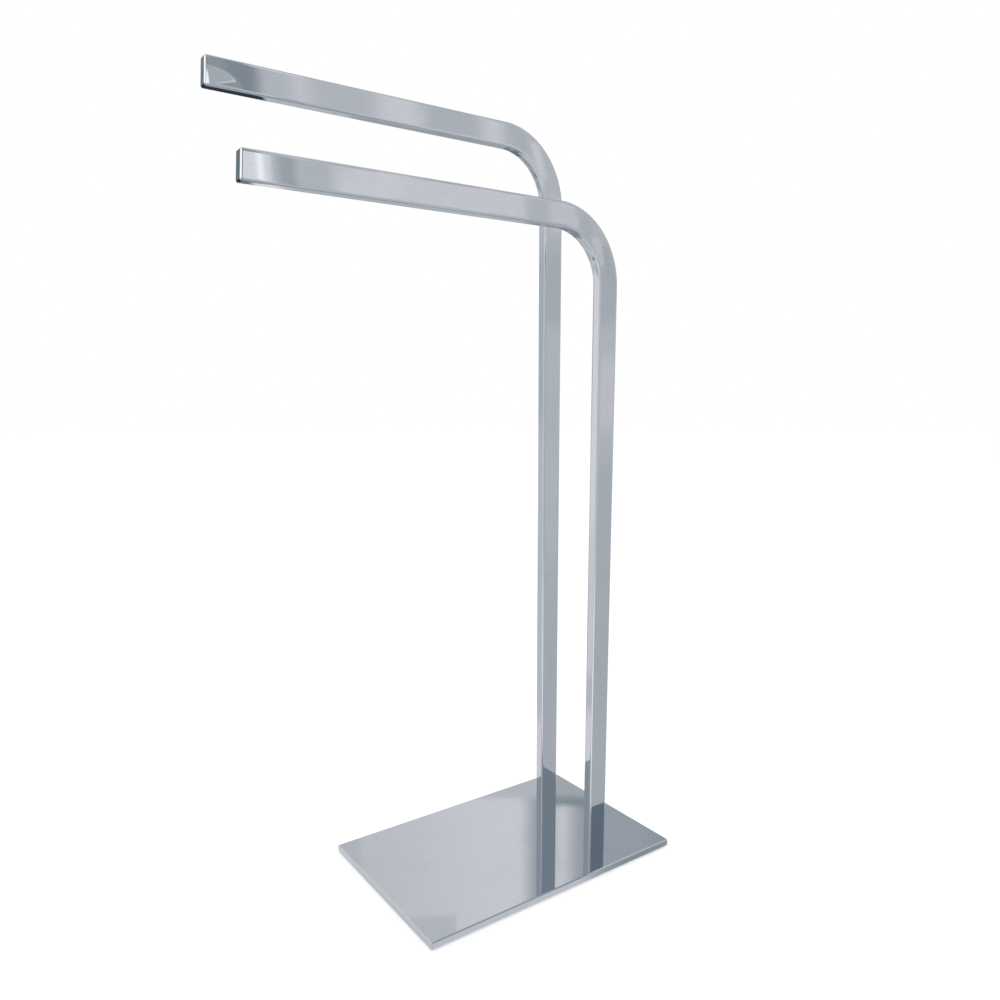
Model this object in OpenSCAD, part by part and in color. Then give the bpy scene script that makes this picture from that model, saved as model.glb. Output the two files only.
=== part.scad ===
// Freestanding towel stand: a heavy flat plate carries two bent rectangular tubes.
// Each tube is a post and an arm in one piece, and the rear one stands taller.
// Millimetres, +Z up. The arms reach towards -X and the front of the stand faces -Y.
// The origin is on the floor, under the middle of the stand's overall length.

/* [Heights and reaches] */
// Height of the tall arm's upper face above the floor
tall_h = 852; // [700:1:1000]
// Height of the short arm's upper face above the floor
short_h = 753; // [450:1:900]
// Reach of the tall arm, from the outer face of its post to its tip
tall_reach = 409.5; // [250:0.5:500]
// Reach of the short arm, from the outer face of its post to its tip
short_reach = 416; // [250:0.5:500]

/* [Base plate] */
// Length of the plate, along the arms
plate_l = 343; // [280:1:450]
// Width of the plate, across the arms
plate_w = 229; // [180:1:320]
// Thickness of the plate
plate_t = 8; // [6:0.5:14]
// Radius of the plate's four upright corners
plate_corner_r = 1.4; // [1:0.1:8]
// Bevel along the plate's upper edge
plate_bevel = 0.8; // [0.3:0.1:1.5]
// Bevel along the plate's lower edge
plate_low_bevel = 0.5; // [0.3:0.1:1.5]

/* [Bent tubes] */
// Wide side of the tube's section, seen from the front
tube_w = 25.4; // [24:0.1:40]
// Narrow side of the tube's section
tube_d = 12.7; // [11:0.1:20]
// Thickness of the tube's wall
tube_wall = 1.2; // [0.8:0.1:1.5]
// Outside radius of the tube's long edges
tube_edge_r = 1.7; // [0.8:0.1:3]
// Radius of the long corners inside the tube's bore
bore_edge_r = 0.6; // [0.3:0.1:2]
// Inside radius of the bend between post and arm
bend_r = 55; // [25:1:90]
// Distance from the plate's end to the outer face of the posts
post_inset = 52.5; // [10:0.5:80]
// Distance between the centre lines of the two tubes
tube_pitch = 98; // [40:1:130]

/* [End caps] */
// Thickness of the cap that shows beyond the tube
cap_t = 1.6; // [1.6:0.1:5]
// Bevel round the cap's outer face
cap_bevel = 1.2; // [0.3:0.1:1.5]
// Angle by which the arms' ends lean, with their lower edge ahead
tip_slant = 5; // [0:0.5:10]
// Length of the plug inside the tube
plug_l = 16; // [8:1:30]
// Wall of the hollow plug
plug_wall = 1.5; // [1:0.1:2]
// Clearance round the plug, on each side
plug_fit = 0.25; // [0.1:0.05:0.5]
// Bevel that leads the plug into the tube
plug_lead = 0.8; // [0.3:0.1:1]
// Radius of the grip ribs along the plug
rib_r = 0.6; // [0.3:0.1:1]
// Gap left between a grip rib and the bore
rib_gap = 0.05; // [0.02:0.01:0.08]

/* [Foot blocks] */
// Height of the steel block in the foot of each post
block_h = 32; // [24:1:60]
// Clearance round the block, on each side
block_fit = 0.1; // [0.05:0.05:0.3]
// Bevel that leads the block into the tube
block_lead = 1; // [0.3:0.1:1.5]
// Depth of the tapped hole past the screw's tip
tap_spare = 3; // [1:0.5:4]

/* [Screws] */
// Distance between the two screws of a post
screw_pitch = 12; // [11:0.5:12.5]
// Diameter of the screw's shank
screw_d = 5; // [4:0.5:5]
// Length of the screw, head included
screw_l = 25; // [18:1:26]
// Diameter of the countersunk head
head_d = 9.6; // [8:0.1:10]
// Straight rim of the head, below its cone
head_land = 0.4; // [0.2:0.1:0.8]
// Depth of the head's face below the underside of the plate
head_sink = 0.4; // [0.1:0.1:1]
// Clearance round the head in its countersink
head_fit = 0.1; // [0.05:0.05:0.3]
// Clearance round the shank in the plate's hole
hole_fit = 0.25; // [0.1:0.05:0.4]
// Clearance round the shank in the tapped hole
tap_fit = 0.05; // [0.02:0.01:0.1]
// Bevel at the screw's tip
tip_bevel = 0.6; // [0.2:0.1:1]
// Hexagonal key socket, across its flats
key_w = 3; // [2:0.5:3]
// Depth of the key socket
key_deep = 2; // [1:0.1:2.4]

/* [Floor pads] */
// Diameter of each rubber pad
pad_d = 16; // [10:1:25]
// Thickness of the pads, which lifts the plate off the floor
pad_t = 2; // [1:0.5:5]
// Distance of the pads' centres from the plate's edges
pad_inset = 20; // [15:1:35]
// Bevel round the pad's lower edge
pad_bevel = 0.5; // [0.2:0.1:0.8]

/* [Hidden] */

// How far every cut runs past the face it opens
overrun = 1;
// Smoothness of the tube's edges, of the bend and of the round parts
edge_fn = 32;
bend_fn = 128;
round_fn = 64;

// The plate's upper face, which the posts stand on
plate_top = pad_t + plate_t;

// Ends of the stand, measured from the plate's centre
post_face = plate_l / 2 - post_inset;
left_end = min(-plate_l / 2, post_face - max(tall_reach, short_reach));
right_end = plate_l / 2;

// Places along the length, measured from the origin
plate_x = -(left_end + right_end) / 2;
post_x = plate_x + post_face - tube_w / 2;
bend_mid_r = bend_r + tube_w / 2;
bend_x = post_x - bend_mid_r;

// The tall tube stands behind the short one
tall_y = tube_pitch / 2;
short_y = -tube_pitch / 2;

// Height of the slanted end, and how far the cap's lower edge lies ahead of the middle of its seat
slant_w = tube_w / cos(tip_slant);
tip_lead = (slant_w / 2 - cap_bevel) * sin(tip_slant) + cap_t * cos(tip_slant);
// How far the slant moves the end of the upper and lower faces from the middle of the seat
slant_run = tube_w / 2 * tan(tip_slant);

// The tube's bore, and the plug and block that fit into it
bore_w = tube_w - 2 * tube_wall;
bore_d = tube_d - 2 * tube_wall;
plug_w = bore_w - 2 * plug_fit;
plug_d = bore_d - 2 * plug_fit;
block_w = bore_w - 2 * block_fit;
block_d = bore_d - 2 * block_fit;

// The screws start under the plate and end inside the blocks
screw_z = pad_t + head_sink;
head_cone = (head_d - screw_d) / 2;
tap_r = screw_d / 2 + tap_fit;
tap_deep = screw_z + screw_l - plate_top + tap_spare;
hole_r = screw_d / 2 + hole_fit;
sink_r = head_d / 2 + head_fit;

// Height of the bend's centre for an arm whose upper face is at top
function bend_z(top) = top - tube_w / 2 - bend_mid_r;

// Straight length of an arm, from its bend to the middle of its cap's seat
function arm_l(reach) = reach - tip_lead - tube_w / 2 - bend_mid_r;

// Upper half of a slab's side view, with its bevel if it has one
function slab_top(w, t, bevel) = bevel > 0
    ? [[w / 2, t - bevel], [w / 2 - bevel, t], [bevel - w / 2, t], [-w / 2, t - bevel]]
    : [[w / 2, t], [-w / 2, t]];

// Lower half of a slab's side view, with its bevel if it has one
function slab_foot(w, bevel) = bevel > 0
    ? [[-w / 2, bevel], [bevel - w / 2, 0], [w / 2 - bevel, 0], [w / 2, bevel]]
    : [[-w / 2, 0], [w / 2, 0]];

// Rectangle with true round corners
module rounded_outline(w, d, r) {
    square([w - 2 * r, d], center = true);
    square([w, d - 2 * r], center = true);
    for (side = [-1, 1], end = [-1, 1])
        translate([side * (w / 2 - r), end * (d / 2 - r)])
            circle(r = r, $fn = edge_fn);
}

// A slab's side view, drawn out along Y
module slab_side(w, t, run, top_bevel, foot_bevel) {
    translate([0, run / 2, 0])
        rotate([90, 0, 0])
            linear_extrude(height = run)
                polygon(concat(slab_foot(w, foot_bevel), slab_top(w, t, top_bevel)));
}

// Slab with round upright corners and mitred bevels above and below
module bevelled_slab(w, d, t, r, top_bevel, foot_bevel) {
    intersection() {
        linear_extrude(height = t)
            rounded_outline(w, d, r);
        slab_side(w, t, d, top_bevel, foot_bevel);
        rotate([0, 0, 90])
            slab_side(d, t, w, top_bevel, foot_bevel);
    }
}

// Post, quarter bend and arm of one section, drawn round the bend's centre
module bent_bar(w, d, r, post_run, arm_run) {
    translate([bend_mid_r, 0, -post_run])
        linear_extrude(height = post_run)
            rounded_outline(w, d, r);
    rotate([90, 0, 0])
        rotate_extrude(angle = 90, $fn = bend_fn)
            translate([bend_mid_r, 0])
                rounded_outline(w, d, r);
    translate([0, 0, bend_mid_r])
        rotate([0, -90, 0])
            linear_extrude(height = arm_run)
                rounded_outline(w, d, r);
}

// Moves a tube, drawn round its bend's centre, to its place on the plate
module at_bend(top, y) {
    translate([bend_x, y, bend_z(top)])
        children();
}

// Turns what is drawn along Z to lie along an arm, from the middle of the cap's seat
module at_seat(reach) {
    translate([-arm_l(reach), 0, bend_mid_r])
        rotate([0, -90, 0])
            children();
}

// Puts one child at each of a post's two screws
module at_screws(y) {
    for (side = [-1, 1])
        translate([post_x + side * screw_pitch / 2, y, 0])
            children();
}

// All that lies past the slanted seat of a cap
module past_seat(run) {
    rotate([0, tip_slant, 0])
        linear_extrude(height = run)
            square(2 * tube_w, center = true);
}

// Hollow tube that is bent once, open at its foot and at its slanted tip
module bent_tube(top, reach) {
    post_run = bend_z(top) - plate_top;
    arm_run = arm_l(reach) + slant_run;
    difference() {
        bent_bar(tube_w, tube_d, tube_edge_r, post_run, arm_run);
        bent_bar(bore_w, bore_d, bore_edge_r, post_run + overrun, arm_run + overrun);
        at_seat(reach)
            past_seat(tube_w);
    }
}

// Hollow plug with ribs that grip the bore, drawn a little longer than it ends up
module plug() {
    translate([0, 0, -plug_l]) {
        difference() {
            bevelled_slab(plug_w, plug_d, plug_l + slant_run, bore_edge_r, 0, plug_lead);
            translate([0, 0, -overrun])
                linear_extrude(height = plug_l + slant_run + 2 * overrun)
                    rounded_outline(plug_w - 2 * plug_wall, plug_d - 2 * plug_wall, bore_edge_r);
        }
        for (side = [-1, 1], face = [-1, 1])
            translate([side * plug_w / 4, face * (bore_d / 2 - rib_gap - rib_r), plug_lead])
                cylinder(h = plug_l + slant_run - plug_lead, r = rib_r, $fn = edge_fn);
    }
}

// Bevelled cap on its slanted seat, with its plug behind it
module end_cap() {
    rotate([0, tip_slant, 0])
        bevelled_slab(slant_w, tube_d, cap_t, tube_edge_r, cap_bevel, 0);
    difference() {
        plug();
        past_seat(tube_w);
    }
}

// Steel block with two blind tapped holes, their mouths at z = 0
module foot_block() {
    difference() {
        bevelled_slab(block_w, block_d, block_h, bore_edge_r, block_lead, 0);
        for (side = [-1, 1])
            translate([side * screw_pitch / 2, 0, 0]) {
                translate([0, 0, -overrun])
                    cylinder(h = tap_deep + overrun, r = tap_r, $fn = round_fn);
                translate([0, 0, tap_deep])
                    cylinder(h = tap_r, r1 = tap_r, r2 = 0, $fn = round_fn);
            }
    }
}

// Clearance hole through the plate, countersunk from below
module screw_hole() {
    translate([0, 0, pad_t - overrun])
        cylinder(h = plate_t + 2 * overrun, r = hole_r, $fn = round_fn);
    translate([0, 0, pad_t - overrun])
        cylinder(h = head_sink + head_land + overrun, r = sink_r, $fn = round_fn);
    translate([0, 0, screw_z + head_land])
        cylinder(h = sink_r, r1 = sink_r, r2 = 0, $fn = round_fn);
}

// Countersunk screw with a hexagonal socket, its head's face at z = 0
module screw() {
    difference() {
        union() {
            cylinder(h = head_land, r = head_d / 2, $fn = round_fn);
            translate([0, 0, head_land])
                cylinder(h = head_cone, r1 = head_d / 2, r2 = screw_d / 2, $fn = round_fn);
            cylinder(h = screw_l - tip_bevel, r = screw_d / 2, $fn = round_fn);
            translate([0, 0, screw_l - tip_bevel])
                cylinder(h = tip_bevel, r1 = screw_d / 2, r2 = screw_d / 2 - tip_bevel, $fn = round_fn);
        }
        translate([0, 0, -overrun])
            cylinder(h = key_deep + overrun, r = key_w / 2 / cos(30), $fn = 6);
    }
}

module post_screws(y) {
    color("lightgrey")
        at_screws(y)
            translate([0, 0, screw_z])
                screw();
}

module base_plate() {
    color("silver")
        difference() {
            translate([plate_x, 0, pad_t])
                bevelled_slab(plate_l, plate_w, plate_t, plate_corner_r, plate_bevel, plate_low_bevel);
            at_screws(tall_y)
                screw_hole();
            at_screws(short_y)
                screw_hole();
        }
}

module tall_tube() {
    color("silver")
        at_bend(tall_h, tall_y)
            bent_tube(tall_h, tall_reach);
}

module short_tube() {
    color("silver")
        at_bend(short_h, short_y)
            bent_tube(short_h, short_reach);
}

module tall_end_cap() {
    color("gainsboro")
        at_bend(tall_h, tall_y)
            at_seat(tall_reach)
                end_cap();
}

module short_end_cap() {
    color("gainsboro")
        at_bend(short_h, short_y)
            at_seat(short_reach)
                end_cap();
}

module tall_foot_block() {
    color("slategrey")
        translate([post_x, tall_y, plate_top])
            foot_block();
}

module short_foot_block() {
    color("slategrey")
        translate([post_x, short_y, plate_top])
            foot_block();
}

module tall_post_screws() {
    post_screws(tall_y);
}

module short_post_screws() {
    post_screws(short_y);
}

// Rubber pad under one corner of the plate: end is -1 at the left, side is -1 at the front
module floor_pad(end, side) {
    color("dimgrey")
        translate([plate_x + end * (plate_l / 2 - pad_inset), side * (plate_w / 2 - pad_inset), 0]) {
            cylinder(h = pad_bevel, r1 = pad_d / 2 - pad_bevel, r2 = pad_d / 2, $fn = round_fn);
            translate([0, 0, pad_bevel])
                cylinder(h = pad_t - pad_bevel, r = pad_d / 2, $fn = round_fn);
        }
}

module pad_front_left() {
    floor_pad(-1, -1);
}

module pad_front_right() {
    floor_pad(1, -1);
}

module pad_rear_left() {
    floor_pad(-1, 1);
}

module pad_rear_right() {
    floor_pad(1, 1);
}

base_plate();
tall_tube();
short_tube();
tall_end_cap();
short_end_cap();
tall_foot_block();
short_foot_block();
tall_post_screws();
short_post_screws();
pad_front_left();
pad_front_right();
pad_rear_left();
pad_rear_right();
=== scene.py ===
import math

import bmesh
import bpy
from mathutils import Matrix, Vector


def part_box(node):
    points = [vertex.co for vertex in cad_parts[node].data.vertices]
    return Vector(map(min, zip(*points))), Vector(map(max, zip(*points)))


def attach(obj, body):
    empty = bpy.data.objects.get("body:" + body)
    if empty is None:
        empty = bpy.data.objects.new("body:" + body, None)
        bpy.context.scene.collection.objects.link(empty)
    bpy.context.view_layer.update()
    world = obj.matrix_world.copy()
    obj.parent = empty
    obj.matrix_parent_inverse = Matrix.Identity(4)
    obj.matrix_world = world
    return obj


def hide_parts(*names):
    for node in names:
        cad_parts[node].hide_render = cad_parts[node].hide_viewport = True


# Freestanding towel stand: the chrome finish, the studio round it and the camera.
# Metres, +Z up. The arms reach towards -X and the front of the stand faces -Y.
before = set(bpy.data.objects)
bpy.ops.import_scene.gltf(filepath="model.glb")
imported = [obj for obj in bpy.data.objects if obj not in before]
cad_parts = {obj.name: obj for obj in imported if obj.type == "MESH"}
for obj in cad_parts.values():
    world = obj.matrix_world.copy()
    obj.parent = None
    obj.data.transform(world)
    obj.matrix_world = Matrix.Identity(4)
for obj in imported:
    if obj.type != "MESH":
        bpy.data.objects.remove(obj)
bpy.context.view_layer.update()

# Section of the bent tubes, and their bend's radius at the inner wall and along the middle
TUBE_W = 0.0254
TUBE_D = 0.0127
TUBE_WALL = 0.0012
TUBE_EDGE_R = 0.0017
BEND_R = 0.055
BEND_MID_R = BEND_R + TUBE_W / 2

# Mesh of a tube: steps round an edge, cells across its walls, steps along it, finer near the tip
EDGE_STEPS = 6
WIDE_CELLS = 16
NARROW_CELLS = 8
BEND_STEPS = 72
RUN_STEP = 0.012
TIP_RUN = 0.036
TIP_STEPS = 24

# What bending does to the section, most at mid-bend: how far the inner wall sinks, the outer wall
# flattens and the side walls swell, and how steeply all that sets in
INNER_DISH = 0.00045
OUTER_DISH = 0.00022
SIDE_BULGE = 0.00004
BEND_ONSET = 1.5

# Where the side walls swell, on a scale across the section from -1 at the inner wall to 1 at the outer
SWELL_MIDDLE = -0.25
SWELL_REACH = 1.1

# How much duller the inside of each bend is, and which part of the same scale counts as the inside
BEND_DULL = {"tall": 1.0, "short": 0.4}
INNER_WALL = -0.99

# Dents near each arm's tip: place from the tip's lower front corner, reach, depth, and whether it is
# a cone with a crisp rim
TIP_DENTS = {
    "tall": (
        ((0.003, 0.0, 0.001), (0.029, 0.006, 0.0155), 0.0009, True),
        ((-0.001, 0.0, 0.001), (0.0046, 0.004, 0.021), 0.0007, False),
    ),
    "short": (),
}

# End caps on the slanted tips, the fine gap behind each and the hollow plug inside the tube
TIP_SLANT = math.radians(5.0)
SLANT_RUN = TUBE_W / 2 * math.tan(TIP_SLANT)
CAP_T = 0.0016
CAP_BEVEL = 0.0012
GAP_W = {"tall": 0.0001, "short": 0.00025}
GAP_DEEP = 0.0006
PLUG_FIT = 0.00025
PLUG_WALL = 0.0015
PLUG_L = 0.016

# Base plate and its countersunk holes
PLATE_CORNER_R = 0.0014
PLATE_BEVEL = 0.0011
PLATE_LOW_BEVEL = 0.0005
SINK_D = 0.0098
HOLE_D = 0.0055

# Countersunk screws with a hexagonal socket
SCREW_PITCH = 0.012
SCREW_D = 0.005
SCREW_L = 0.025
HEAD_D = 0.0096
HEAD_LAND = 0.0004
HEAD_SINK = 0.0004
KEY_W = 0.003
KEY_DEEP = 0.002
KEY_SIDES = 6
HEAD_ROUND = 0.0001
KEY_ROUND = 0.0001
TIP_BEVEL = 0.0006

# Floor pads: their rounded rim and grip ring, with the ring's place and width as shares of the radius
PAD_ROUND = 0.0005
PAD_ROUND_STEPS = 4
RING_PLACE = 0.3
RING_WIDTH = 0.08
RING_DEPTH = 0.0003

# Steps round a screw or a pad
ROUND_STEPS = 48

# Camera, fitted to the photograph's straight edges and corners
FRAME_PX = 1000
FOCAL_PX = 814.88
CENTRE_DROP_PX = 66.13
SENSOR_MM = 36.0
CAMERA_PLACE = Vector((-0.47124, -0.75545, 0.55662))
VIEW_AZIMUTH = 35.08
VIEW_DROP = 11.88
VIEW_ROLL = -0.28
NEAREST_SEEN = 0.05
FARTHEST_SEEN = 60.0

# Profile that keeps a bevel flat
FLAT_BEVEL = 0.25

# Edges that turn more sharply than this aren't shaded smooth
SHARP_TURN = math.radians(40.0)

# Two heights that differ by less than this are the same
NEAR = 1e-5

# Chrome plating: its colour in white light, its roughness and the depth of its waves
CHROME = (0.54, 0.557, 0.60)
POLISH = 0.03
WAVE_DEPTH = 0.0001

# Marks on the chrome: how dark or bright each makes the colour, and how softly smudges fade and cover
GRAIN_DARK = 0.95
GRAIN_BRIGHT = 1.045
SMUDGE_FADE = 0.22
SMUDGE_COVER = 0.5
SMUDGE_TONE = 0.93
BEND_TONE = 0.97
WORN_TONE = 1.06

# Marks on the chrome: how much roughness each adds
DULL_ROUGH = 0.07
SMUDGE_ROUGH = 0.035
WIPE_ROUGH = 0.012
WORN_ROUGH = 0.05

# Colour of the dull streaks inside a bend
STREAK = (0.25, 0.29, 0.34)

# Colour of the dirt in a joint
GRIME = (0.02, 0.02, 0.022)

# Steel of the foot blocks and the screws: colours, tones of smudges and wear, spread of the roughness
# to either side of its middle, and depth of the drawing lines
BLOCK_STEEL = (0.45, 0.45, 0.46)
SCREW_STEEL = (0.58, 0.59, 0.6)
STEEL_SMUDGE_TONE = 0.72
STEEL_WORN_TONE = 1.25
STEEL_SMOOTHER = 0.08
STEEL_ROUGHER = 0.12
STEEL_LINE_DEPTH = 0.00005

# Rubber of the pads: clean, dusty and rubbed colours, and depth of the grain
RUBBER = (0.035, 0.035, 0.038)
RUBBER_DUST = (0.075, 0.073, 0.07)
RUBBER_WORN = (0.1, 0.1, 0.1)
RUBBER_GRAIN_DEPTH = 0.0001

# Studio: the floor's size and paleness, the glow that makes it white to the camera, and how much of
# the world's brightness lights the stand
FLOOR_R = 14.0
FLOOR_SIDES = 96
FLOOR_PAPER = 0.9
FLOOR_GLOW = 0.2
LIGHT_LEVEL = 0.92

# Share of a board's slate tint that goes to the blue
SLATE_BLUE = 0.45

# Kinds of sockets in the node groups
FLOAT = "NodeSocketFloat"
COLOUR = "NodeSocketColor"
POINT = "NodeSocketVector"


def set_inputs(node, **values):
    """Sets a node's sockets by name, with _ for a space."""
    for name, value in values.items():
        node.inputs[name.replace("_", " ")].default_value = value
    return node


def add(tree, kind, **values):
    """New node in a tree, with its sockets set by name."""
    return set_inputs(tree.nodes.new(kind), **values)


def math_node(tree, operation, *values):
    """Math node: each value is a number or the socket that feeds it."""
    node = tree.nodes.new("ShaderNodeMath")
    node.operation = operation
    for place, value in enumerate(values):
        if isinstance(value, bpy.types.NodeSocket):
            tree.links.new(value, node.inputs[place])
        else:
            node.inputs[place].default_value = value
    return node.outputs[0]


def map_range(tree, value, low, high, to_low, to_high, smooth=True):
    """Map Range node from a socket, with a smooth step by default."""
    node = tree.nodes.new("ShaderNodeMapRange")
    if smooth:
        node.interpolation_type = "SMOOTHSTEP"
    tree.links.new(value, node.inputs["Value"])
    for name, place in (("From Min", low), ("From Max", high), ("To Min", to_low), ("To Max", to_high)):
        if isinstance(place, bpy.types.NodeSocket):
            tree.links.new(place, node.inputs[name])
        else:
            node.inputs[name].default_value = place
    return node.outputs["Result"]


def new_group(name, inputs, outputs):
    """Shader node group with named inputs and outputs, and its two end nodes."""
    group = bpy.data.node_groups.new(name, "ShaderNodeTree")
    for socket, kind, value in inputs:
        made = group.interface.new_socket(socket, in_out="INPUT", socket_type=kind)
        if value is not None:
            made.default_value = value
    for socket, kind in outputs:
        group.interface.new_socket(socket, in_out="OUTPUT", socket_type=kind)
    start = group.nodes.new("NodeGroupInput").outputs
    end = group.nodes.new("NodeGroupOutput").inputs
    return group, start, end


def use_group(tree, group, **values):
    """Places a node group in a tree. A value is a number, a colour or a socket."""
    node = tree.nodes.new("ShaderNodeGroup")
    node.node_tree = group
    for name, value in values.items():
        socket = node.inputs[name.replace("_", " ")]
        if isinstance(value, bpy.types.NodeSocket):
            tree.links.new(value, socket)
        else:
            socket.default_value = value
    return node


def polish_waves_group():
    """Height of the slow waves that belt polishing leaves on flat chrome."""
    group, start, end = new_group(
        "polish_waves",
        [("Place", POINT, None), ("Long waves", FLOAT, 9.0), ("Short waves", FLOAT, 60.0),
         ("Short share", FLOAT, 0.1)],
        [("Height", FLOAT)],
    )
    links = group.links
    slow = add(group, "ShaderNodeTexNoise", Detail=1.0, Roughness=0.4)
    quick = add(group, "ShaderNodeTexNoise", Detail=2.0, Roughness=0.5)
    for node, scale in ((slow, "Long waves"), (quick, "Short waves")):
        links.new(start["Place"], node.inputs["Vector"])
        links.new(start[scale], node.inputs["Scale"])
    ripple = math_node(group, "MULTIPLY", quick.outputs["Fac"], start["Short share"])
    links.new(math_node(group, "ADD", slow.outputs["Fac"], ripple), end["Height"])
    return group


def hand_marks_group():
    """Mask of faint smudges where hands and a cloth have touched the chrome."""
    group, start, end = new_group(
        "hand_marks",
        [("Place", POINT, None), ("Size", FLOAT, 16.0), ("Cover", FLOAT, 0.5)],
        [("Smudge", FLOAT), ("Streak", FLOAT)],
    )
    links = group.links
    patch = add(group, "ShaderNodeTexNoise", Detail=5.0, Roughness=0.62, Distortion=0.6)
    links.new(start["Place"], patch.inputs["Vector"])
    links.new(start["Size"], patch.inputs["Scale"])
    high = math_node(group, "ADD", start["Cover"], SMUDGE_FADE)
    links.new(map_range(group, patch.outputs["Fac"], start["Cover"], high, 0.0, 1.0), end["Smudge"])
    wipe = add(group, "ShaderNodeTexNoise", Scale=340.0, Detail=3.0, Roughness=0.6)
    stretch = add(group, "ShaderNodeMapping", Scale=(1.0, 0.16, 0.05), Rotation=(0.3, 0.5, 0.4))
    links.new(start["Place"], stretch.inputs["Vector"])
    links.new(stretch.outputs["Vector"], wipe.inputs["Vector"])
    links.new(map_range(group, wipe.outputs["Fac"], 0.45, 0.75, 0.0, 1.0), end["Streak"])
    return group


def polish_grain_group():
    """Fine speckle and lines that polishing leaves in chromed steel, and coarser streaks for bends."""
    group, start, end = new_group(
        "polish_grain",
        [("Place", POINT, None), ("Along", POINT, None), ("Streak pitch", FLOAT, 420.0)],
        [("Tone", FLOAT), ("Streaks", FLOAT)],
    )
    links = group.links
    speckle = add(group, "ShaderNodeTexNoise", Scale=420.0, Detail=4.0, Roughness=0.75)
    links.new(start["Place"], speckle.inputs["Vector"])
    drawn = add(group, "ShaderNodeMapping", Scale=(1.0, 1.0, 0.02))
    links.new(start["Along"], drawn.inputs["Vector"])
    lines = add(group, "ShaderNodeTexNoise", Scale=700.0, Detail=1.0, Roughness=0.5)
    links.new(drawn.outputs["Vector"], lines.inputs["Vector"])
    both = math_node(group, "MULTIPLY_ADD", lines.outputs["Fac"], 0.3, speckle.outputs["Fac"])
    links.new(map_range(group, both, 0.45, 0.85, 0.0, 1.0, smooth=False), end["Tone"])
    streaks = add(group, "ShaderNodeTexNoise", Detail=2.0, Roughness=0.6)
    links.new(drawn.outputs["Vector"], streaks.inputs["Vector"])
    links.new(start["Streak pitch"], streaks.inputs["Scale"])
    links.new(map_range(group, streaks.outputs["Fac"], 0.4, 0.6, 0.0, 1.0), end["Streaks"])
    return group


def edge_wear_group():
    """Mask of the worn strip along bevelled edges, broken up by noise."""
    group, start, end = new_group(
        "edge_wear",
        [("Place", POINT, None), ("Edge", FLOAT, 0.0), ("Breakup", FLOAT, 120.0)],
        [("Worn", FLOAT)],
    )
    links = group.links
    chips = add(group, "ShaderNodeTexNoise", Detail=4.0, Roughness=0.65)
    links.new(start["Place"], chips.inputs["Vector"])
    links.new(start["Breakup"], chips.inputs["Scale"])
    broken = map_range(group, chips.outputs["Fac"], 0.42, 0.62, 0.15, 1.0)
    links.new(math_node(group, "MULTIPLY", start["Edge"], broken), end["Worn"])
    return group


def new_finish(name, metallic):
    """Material with its Principled shader and its Object coordinates."""
    material = bpy.data.materials.new(name)
    material.use_nodes = True
    tree = material.node_tree
    shader = set_inputs(tree.nodes["Principled BSDF"], Metallic=metallic)
    place = tree.nodes.new("ShaderNodeTexCoord").outputs["Object"]
    return material, tree, shader, place


def mesh_value(tree, name, output="Fac"):
    """Output of a value that the mesh carries."""
    node = tree.nodes.new("ShaderNodeAttribute")
    node.attribute_name = name
    return node.outputs[output]


def mix_colours(tree, share, first, second):
    """Colour mixed by a mask. Each colour is RGB values or a socket."""
    node = tree.nodes.new("ShaderNodeMix")
    node.data_type = "RGBA"
    tree.links.new(share, node.inputs["Factor"])
    for place, colour in ((6, first), (7, second)):
        if isinstance(colour, bpy.types.NodeSocket):
            tree.links.new(colour, node.inputs[place])
        else:
            node.inputs[place].default_value = (*colour, 1.0)
    return node.outputs[2]


def scaled(colour, share):
    """A colour made darker or lighter."""
    return tuple(min(1.0, share * part) for part in colour)


def raise_surface(tree, shader, height, strength, depth):
    """Bump on a material's surface, from a socket with its height."""
    bump = add(tree, "ShaderNodeBump", Strength=strength, Distance=depth)
    tree.links.new(height, bump.inputs["Height"])
    tree.links.new(bump.outputs["Normal"], shader.inputs["Normal"])


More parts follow.
